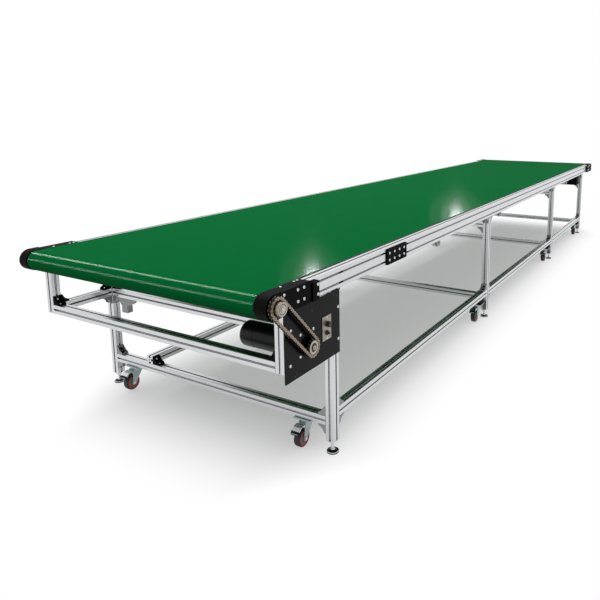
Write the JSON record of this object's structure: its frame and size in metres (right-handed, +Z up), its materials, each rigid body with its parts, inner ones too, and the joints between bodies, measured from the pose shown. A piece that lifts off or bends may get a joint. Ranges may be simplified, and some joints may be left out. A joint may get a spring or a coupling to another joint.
{
  "type": "belt conveyor",
  "caption": "Long wide belt conveyor with a glossy green belt on a slotted aluminium frame, levelling feet and braked swivel castors, and an exposed chain drive at one end.",
  "frame": {"origin": "on the floor, under the middle of the conveyor's overall box", "axes": "+X along the belt from the drive end to the idle end, -Y is the chain and motor side, +Z up"},
  "size_m": [6.0398, 1.403, 0.765],
  "materials": {
    "anodised_aluminium": "satin anodised extrusion",
    "die_cast_grey": "grey coated die casting",
    "black_anodised": "satin black coated metal",
    "zinc_steel": "bright zinc plated steel",
    "bed_sheet": "galvanised sheet",
    "green_belt": "glossy green coated belt",
    "chain_steel": "oiled steel",
    "motor_black": "semi gloss black paint",
    "switch_plate_steel": "brushed",
    "switch_black": "moulded",
    "foot_rubber": "matte",
    "castor_tyre": "grey black rubber with a red centre ring"
  },
  "bodies": {
    "frame": {"rail_right": "anodised_aluminium", "rail_left": "anodised_aluminium", "legs_right": "anodised_aluminium", "legs_left": "anodised_aluminium", "low_bars_right": "anodised_aluminium", "low_bars_left": "anodised_aluminium", "low_cross_bars": "anodised_aluminium", "high_cross_bars": "anodised_aluminium", "drive_posts": "anodised_aluminium", "drive_subframe": "anodised_aluminium", "bed": "bed_sheet", "bed_ties": "anodised_aluminium", "belt": "green_belt", "drive_roller": "zinc_steel", "idle_roller": "zinc_steel", "return_rollers": "zinc_steel", "return_brackets": "zinc_steel", "drive_brackets": "black_anodised", "idle_brackets": "black_anodised", "join_plates": "black_anodised", "motor_plate": "black_anodised", "switch_plate": "switch_plate_steel", "start_switch": "switch_black", "gear_motor": "motor_black", "motor_sprocket": "chain_steel", "roller_sprocket": "chain_steel", "drive_chain": "chain_steel", "splice_plates": "black_anodised", "cast_corners": "die_cast_grey", "black_corners": "black_anodised", "cable_tray": "black_anodised", "sensor_box": "die_cast_grey", "foot_studs": "zinc_steel", "foot_pads": "foot_rubber", "castor_plates": "zinc_steel", "castor_blocks": "black_anodised"},
    "swivel_r1": {"fork_r1": "zinc_steel"},
    "castor_r1": {"wheel_r1": "castor_tyre"},
    "swivel_r2": {"fork_r2": "zinc_steel"},
    "castor_r2": {"wheel_r2": "castor_tyre"},
    "swivel_r3": {"fork_r3": "zinc_steel"},
    "castor_r3": {"wheel_r3": "castor_tyre"},
    "swivel_r4": {"fork_r4": "zinc_steel"},
    "castor_r4": {"wheel_r4": "castor_tyre"},
    "swivel_l1": {"fork_l1": "zinc_steel"},
    "castor_l1": {"wheel_l1": "castor_tyre"},
    "swivel_l2": {"fork_l2": "zinc_steel"},
    "castor_l2": {"wheel_l2": "castor_tyre"},
    "swivel_l3": {"fork_l3": "zinc_steel"},
    "castor_l3": {"wheel_l3": "castor_tyre"},
    "swivel_l4": {"fork_l4": "zinc_steel"},
    "castor_l4": {"wheel_l4": "castor_tyre"}
  },
  "joints": [
    {"name": "swivel_r1_turn", "type": "hinge", "parent": "frame", "child": "swivel_r1", "pos_m": [-2.6, -0.502, 0.108], "axis": [0, 0, 1], "continuous": true},
    {"name": "wheel_r1_spin", "type": "hinge", "parent": "swivel_r1", "child": "castor_r1", "pos_m": [-2.63, -0.502, 0.0405], "axis": [0, 1, 0], "continuous": true},
    {"name": "swivel_r2_turn", "type": "hinge", "parent": "frame", "child": "swivel_r2", "pos_m": [-0.856, -0.614, 0.108], "axis": [0, 0, 1], "continuous": true},
    {"name": "wheel_r2_spin", "type": "hinge", "parent": "swivel_r2", "child": "castor_r2", "pos_m": [-0.886, -0.614, 0.0405], "axis": [0, 1, 0], "continuous": true},
    {"name": "swivel_r3_turn", "type": "hinge", "parent": "frame", "child": "swivel_r3", "pos_m": [0.994, -0.614, 0.108], "axis": [0, 0, 1], "continuous": true},
    {"name": "wheel_r3_spin", "type": "hinge", "parent": "swivel_r3", "child": "castor_r3", "pos_m": [0.964, -0.614, 0.0405], "axis": [0, 1, 0], "continuous": true},
    {"name": "swivel_r4_turn", "type": "hinge", "parent": "frame", "child": "swivel_r4", "pos_m": [2.394, -0.614, 0.108], "axis": [0, 0, 1], "continuous": true},
    {"name": "wheel_r4_spin", "type": "hinge", "parent": "swivel_r4", "child": "castor_r4", "pos_m": [2.364, -0.614, 0.0405], "axis": [0, 1, 0], "continuous": true},
    {"name": "swivel_l1_turn", "type": "hinge", "parent": "frame", "child": "swivel_l1", "pos_m": [-2.6, 0.534, 0.108], "axis": [0, 0, 1], "continuous": true},
    {"name": "wheel_l1_spin", "type": "hinge", "parent": "swivel_l1", "child": "castor_l1", "pos_m": [-2.63, 0.534, 0.0405], "axis": [0, 1, 0], "continuous": true},
    {"name": "swivel_l2_turn", "type": "hinge", "parent": "frame", "child": "swivel_l2", "pos_m": [-0.75, 0.534, 0.108], "axis": [0, 0, 1], "continuous": true},
    {"name": "wheel_l2_spin", "type": "hinge", "parent": "swivel_l2", "child": "castor_l2", "pos_m": [-0.78, 0.534, 0.0405], "axis": [0, 1, 0], "continuous": true},
    {"name": "swivel_l3_turn", "type": "hinge", "parent": "frame", "child": "swivel_l3", "pos_m": [1.1, 0.534, 0.108], "axis": [0, 0, 1], "continuous": true},
    {"name": "wheel_l3_spin", "type": "hinge", "parent": "swivel_l3", "child": "castor_l3", "pos_m": [1.07, 0.534, 0.0405], "axis": [0, 1, 0], "continuous": true},
    {"name": "swivel_l4_turn", "type": "hinge", "parent": "frame", "child": "swivel_l4", "pos_m": [2.5, 0.534, 0.108], "axis": [0, 0, 1], "continuous": true},
    {"name": "wheel_l4_spin", "type": "hinge", "parent": "swivel_l4", "child": "castor_l4", "pos_m": [2.47, 0.534, 0.0405], "axis": [0, 1, 0], "continuous": true}
  ]
}
